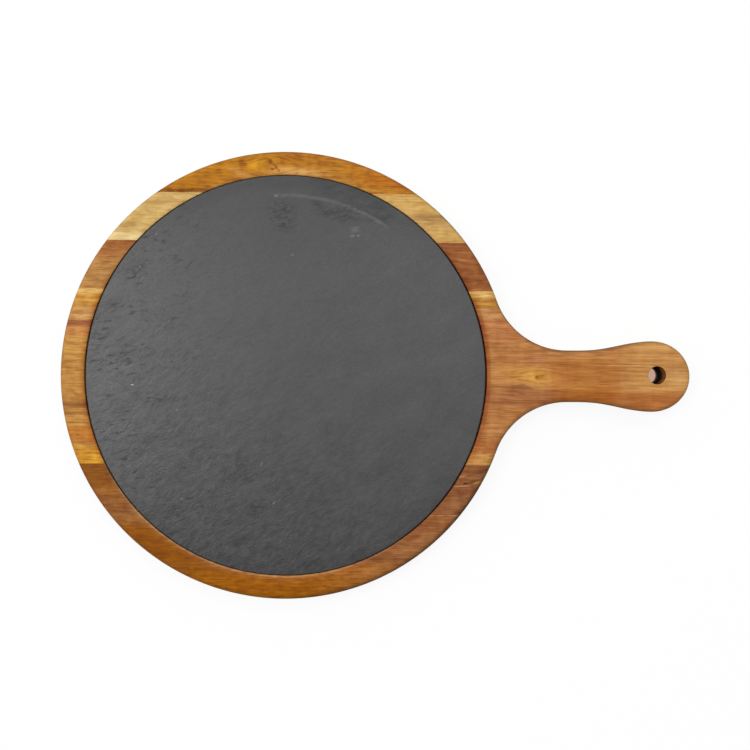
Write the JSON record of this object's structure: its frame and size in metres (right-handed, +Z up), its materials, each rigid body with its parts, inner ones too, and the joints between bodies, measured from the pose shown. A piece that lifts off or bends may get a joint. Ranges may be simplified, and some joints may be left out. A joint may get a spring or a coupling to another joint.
{
  "type": "serving board",
  "caption": "Round acacia serving board glued up from staves, with a paddle handle, a hanging hole and a loose slate disc that lies in a shallow recess.",
  "frame": {"origin": "on the underside, at the centre of the round part", "axes": "+X along the handle, away from the round part; +Z up, out of the serving face"},
  "size_m": [0.42, 0.3, 0.018],
  "materials": {
    "plank_wood": "oiled acacia, tan heartwood with golden sapwood edges",
    "red_heartwood": "oiled acacia, reddish-brown heartwood",
    "pale_sapwood": "oiled acacia, pale sapwood with brown streaks",
    "golden_wood": "oiled acacia, golden brown with a small knot",
    "dark_heartwood": "oiled acacia, dark brown with a wavy figure",
    "amber_wood": "oiled acacia, amber brown",
    "slate": "natural riven slate, matt dark grey"
  },
  "bodies": {
    "board": {"handle_plank": "plank_wood", "upper_stave_1": "red_heartwood", "upper_stave_2": "pale_sapwood", "upper_stave_3": "golden_wood", "lower_stave_1": "dark_heartwood", "lower_stave_2": "amber_wood", "lower_stave_3": "amber_wood"},
    "slate": {"slate_insert": "slate"}
  },
  "joints": [
    {"name": "slate_lift", "type": "slide", "parent": "board", "child": "slate", "axis": [0, 0, 1], "range_m": [0, 0.04]}
  ]
}
